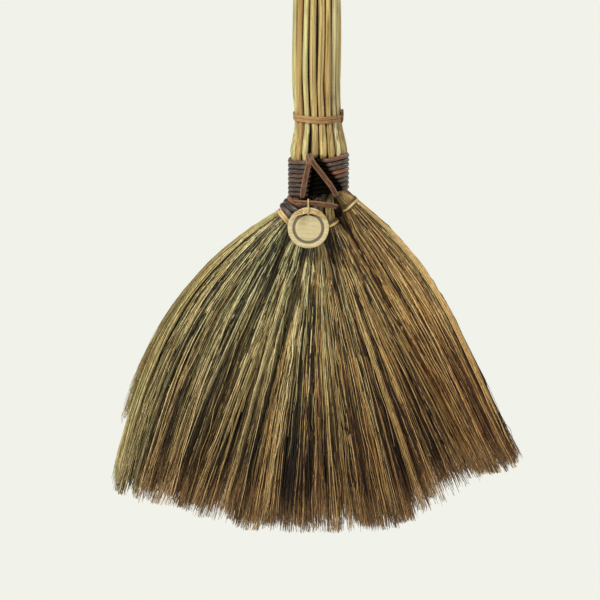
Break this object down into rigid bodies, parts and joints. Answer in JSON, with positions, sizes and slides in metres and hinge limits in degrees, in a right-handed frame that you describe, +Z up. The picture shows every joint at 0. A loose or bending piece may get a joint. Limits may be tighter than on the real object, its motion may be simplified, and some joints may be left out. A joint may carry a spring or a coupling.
{
  "type": "hand-tied grass fan broom",
  "caption": "Household fan broom tied by hand from grass: a bell-shaped fan of fine fibres, a handle made of its own stalks, a cord-wrapped neck and a blank round tag on twine.",
  "frame": {"origin": "on the handle's axis at the middle of the hand grip, between the third and fourth ties", "axes": "+Z up along the handle towards its cut end, fibres hanging down; +X to the right across the fan; -Y towards the side with the tag"},
  "size_m": [0.2613, 0.0428, 0.659],
  "materials": {
    "stalk": "glossy pale straw-yellow grass stalk",
    "fibre": "fine matt olive to golden grass fibre",
    "hand_tie": "pale split cane",
    "rattan": "satin tan-brown split rattan",
    "dark_cord": "satin dark brown round cord",
    "red_cord": "satin reddish-brown cord and lace",
    "twine": "pale raffia twine",
    "tag_board": "blank light tan board"
  },
  "bodies": {
    "handle": {"stalks_left": "stalk", "stalks_inner_left": "stalk", "stalks_centre_front": "stalk", "stalks_centre_back": "stalk", "stalks_inner_right": "stalk", "stalks_right": "stalk", "hand_tie_left": "hand_tie", "hand_tie_inner_left": "hand_tie", "hand_tie_centre_front": "hand_tie", "hand_tie_centre_back": "hand_tie", "hand_tie_inner_right": "hand_tie", "hand_tie_right": "hand_tie", "handle_tie_1": "rattan", "handle_tie_2": "rattan", "handle_tie_3": "rattan", "handle_tie_4": "rattan", "handle_tie_knots": "red_cord", "top_binding": "rattan", "neck_wrap_upper": "dark_cord", "neck_wrap_lower": "red_cord", "neck_wrap_left_turns": "dark_cord", "neck_foot_turn": "red_cord", "lace_left": "red_cord", "lace_right": "red_cord"},
    "brush": {"brush_left": "fibre", "brush_inner_left": "fibre", "brush_centre_front": "fibre", "brush_centre_back": "fibre", "brush_inner_right": "fibre", "brush_right": "fibre"},
    "twine": {"tag_twine": "twine"},
    "tag": {"tag": "tag_board"}
  },
  "joints": [
    {"name": "brush_flex", "type": "hinge", "parent": "handle", "child": "brush", "pos_m": [0, 0, -0.302], "axis": [1, 0, 0], "range_deg": [-9, 9], "stiffness_Nm_per_rad": 4},
    {"name": "tag_lift", "type": "hinge", "parent": "handle", "child": "twine", "pos_m": [-0.005, -0.019, -0.2876], "axis": [-1, 0, 0], "range_deg": [0, 80]},
    {"name": "tag_swing", "type": "hinge", "parent": "twine", "child": "tag", "pos_m": [-0.005, -0.0222, -0.2932], "axis": [0, 1, 0], "range_deg": [-40, 40]}
  ]
}
